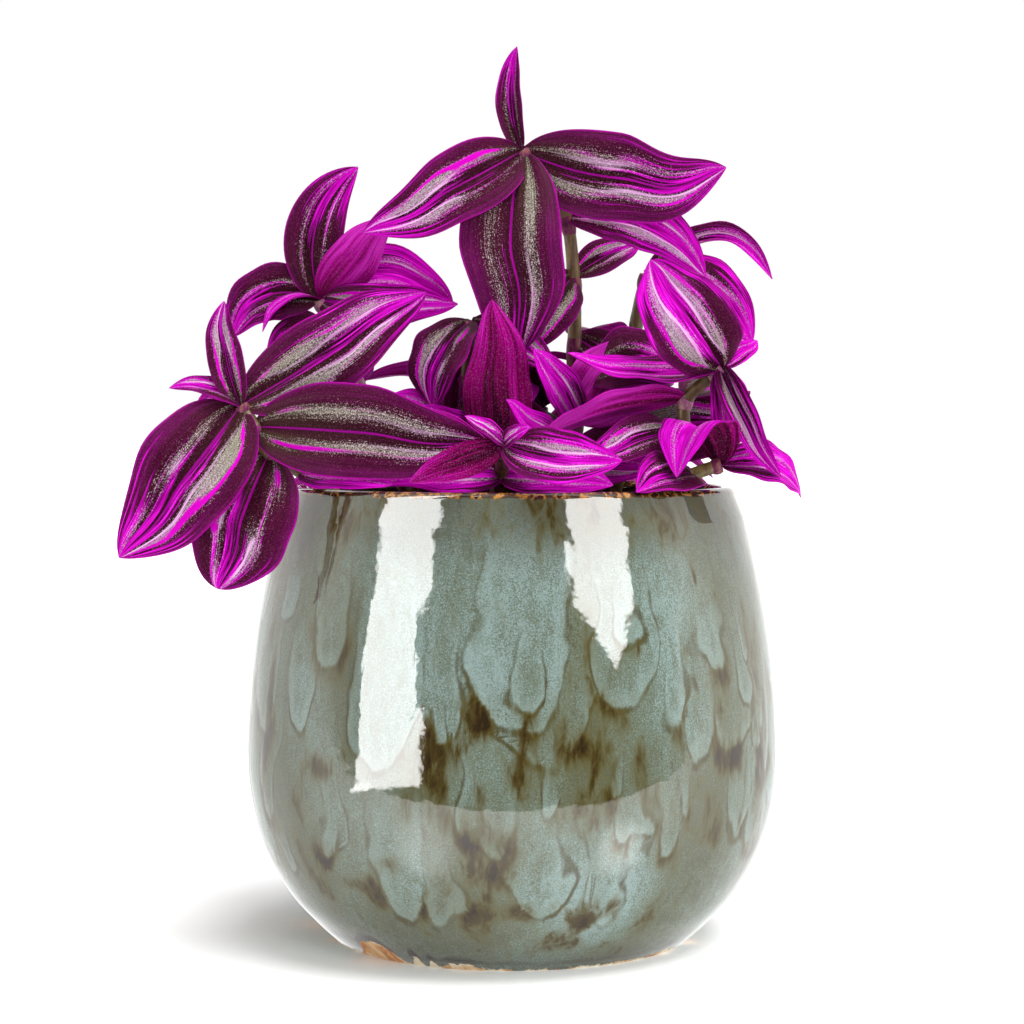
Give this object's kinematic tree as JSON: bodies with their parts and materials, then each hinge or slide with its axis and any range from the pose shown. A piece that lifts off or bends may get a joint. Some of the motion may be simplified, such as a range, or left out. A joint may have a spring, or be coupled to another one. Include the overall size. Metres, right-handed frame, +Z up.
{
  "type": "potted plant",
  "caption": "House plant with purple and silver-striped leaves on trailing stems, growing in soil in a round belly-shaped glazed pot that stands on its flat foot.",
  "frame": {"origin": "centre of the pot's underside, on the surface it stands on", "axes": "+Z up, -Y to the front as pictured, +X to the right seen from the front"},
  "size_m": [0.1958, 0.1933, 0.2661],
  "materials": {
    "glaze": "glossy reactive glaze in blue-green with olive-brown runs, bare clay foot",
    "soil": "loose dark potting soil",
    "leaf": "living leaf, soft sheen, plum with silver and magenta stripes"
  },
  "bodies": {
    "root": {"pot": "glaze", "soil": "soil", "shoot_crown": "leaf", "shoot_left": "leaf", "shoot_upper_left": "leaf", "shoot_right": "leaf", "shoot_front": "leaf", "shoot_lower_right": "leaf", "shoot_upper_right": "leaf", "shoot_middle_left": "leaf", "shoot_middle_right": "leaf", "shoot_back_1": "leaf", "shoot_back_2": "leaf", "shoot_back_3": "leaf", "shoot_back_4": "leaf", "shoot_back_5": "leaf", "shoot_back_6": "leaf"}
  },
  "joints": []
}
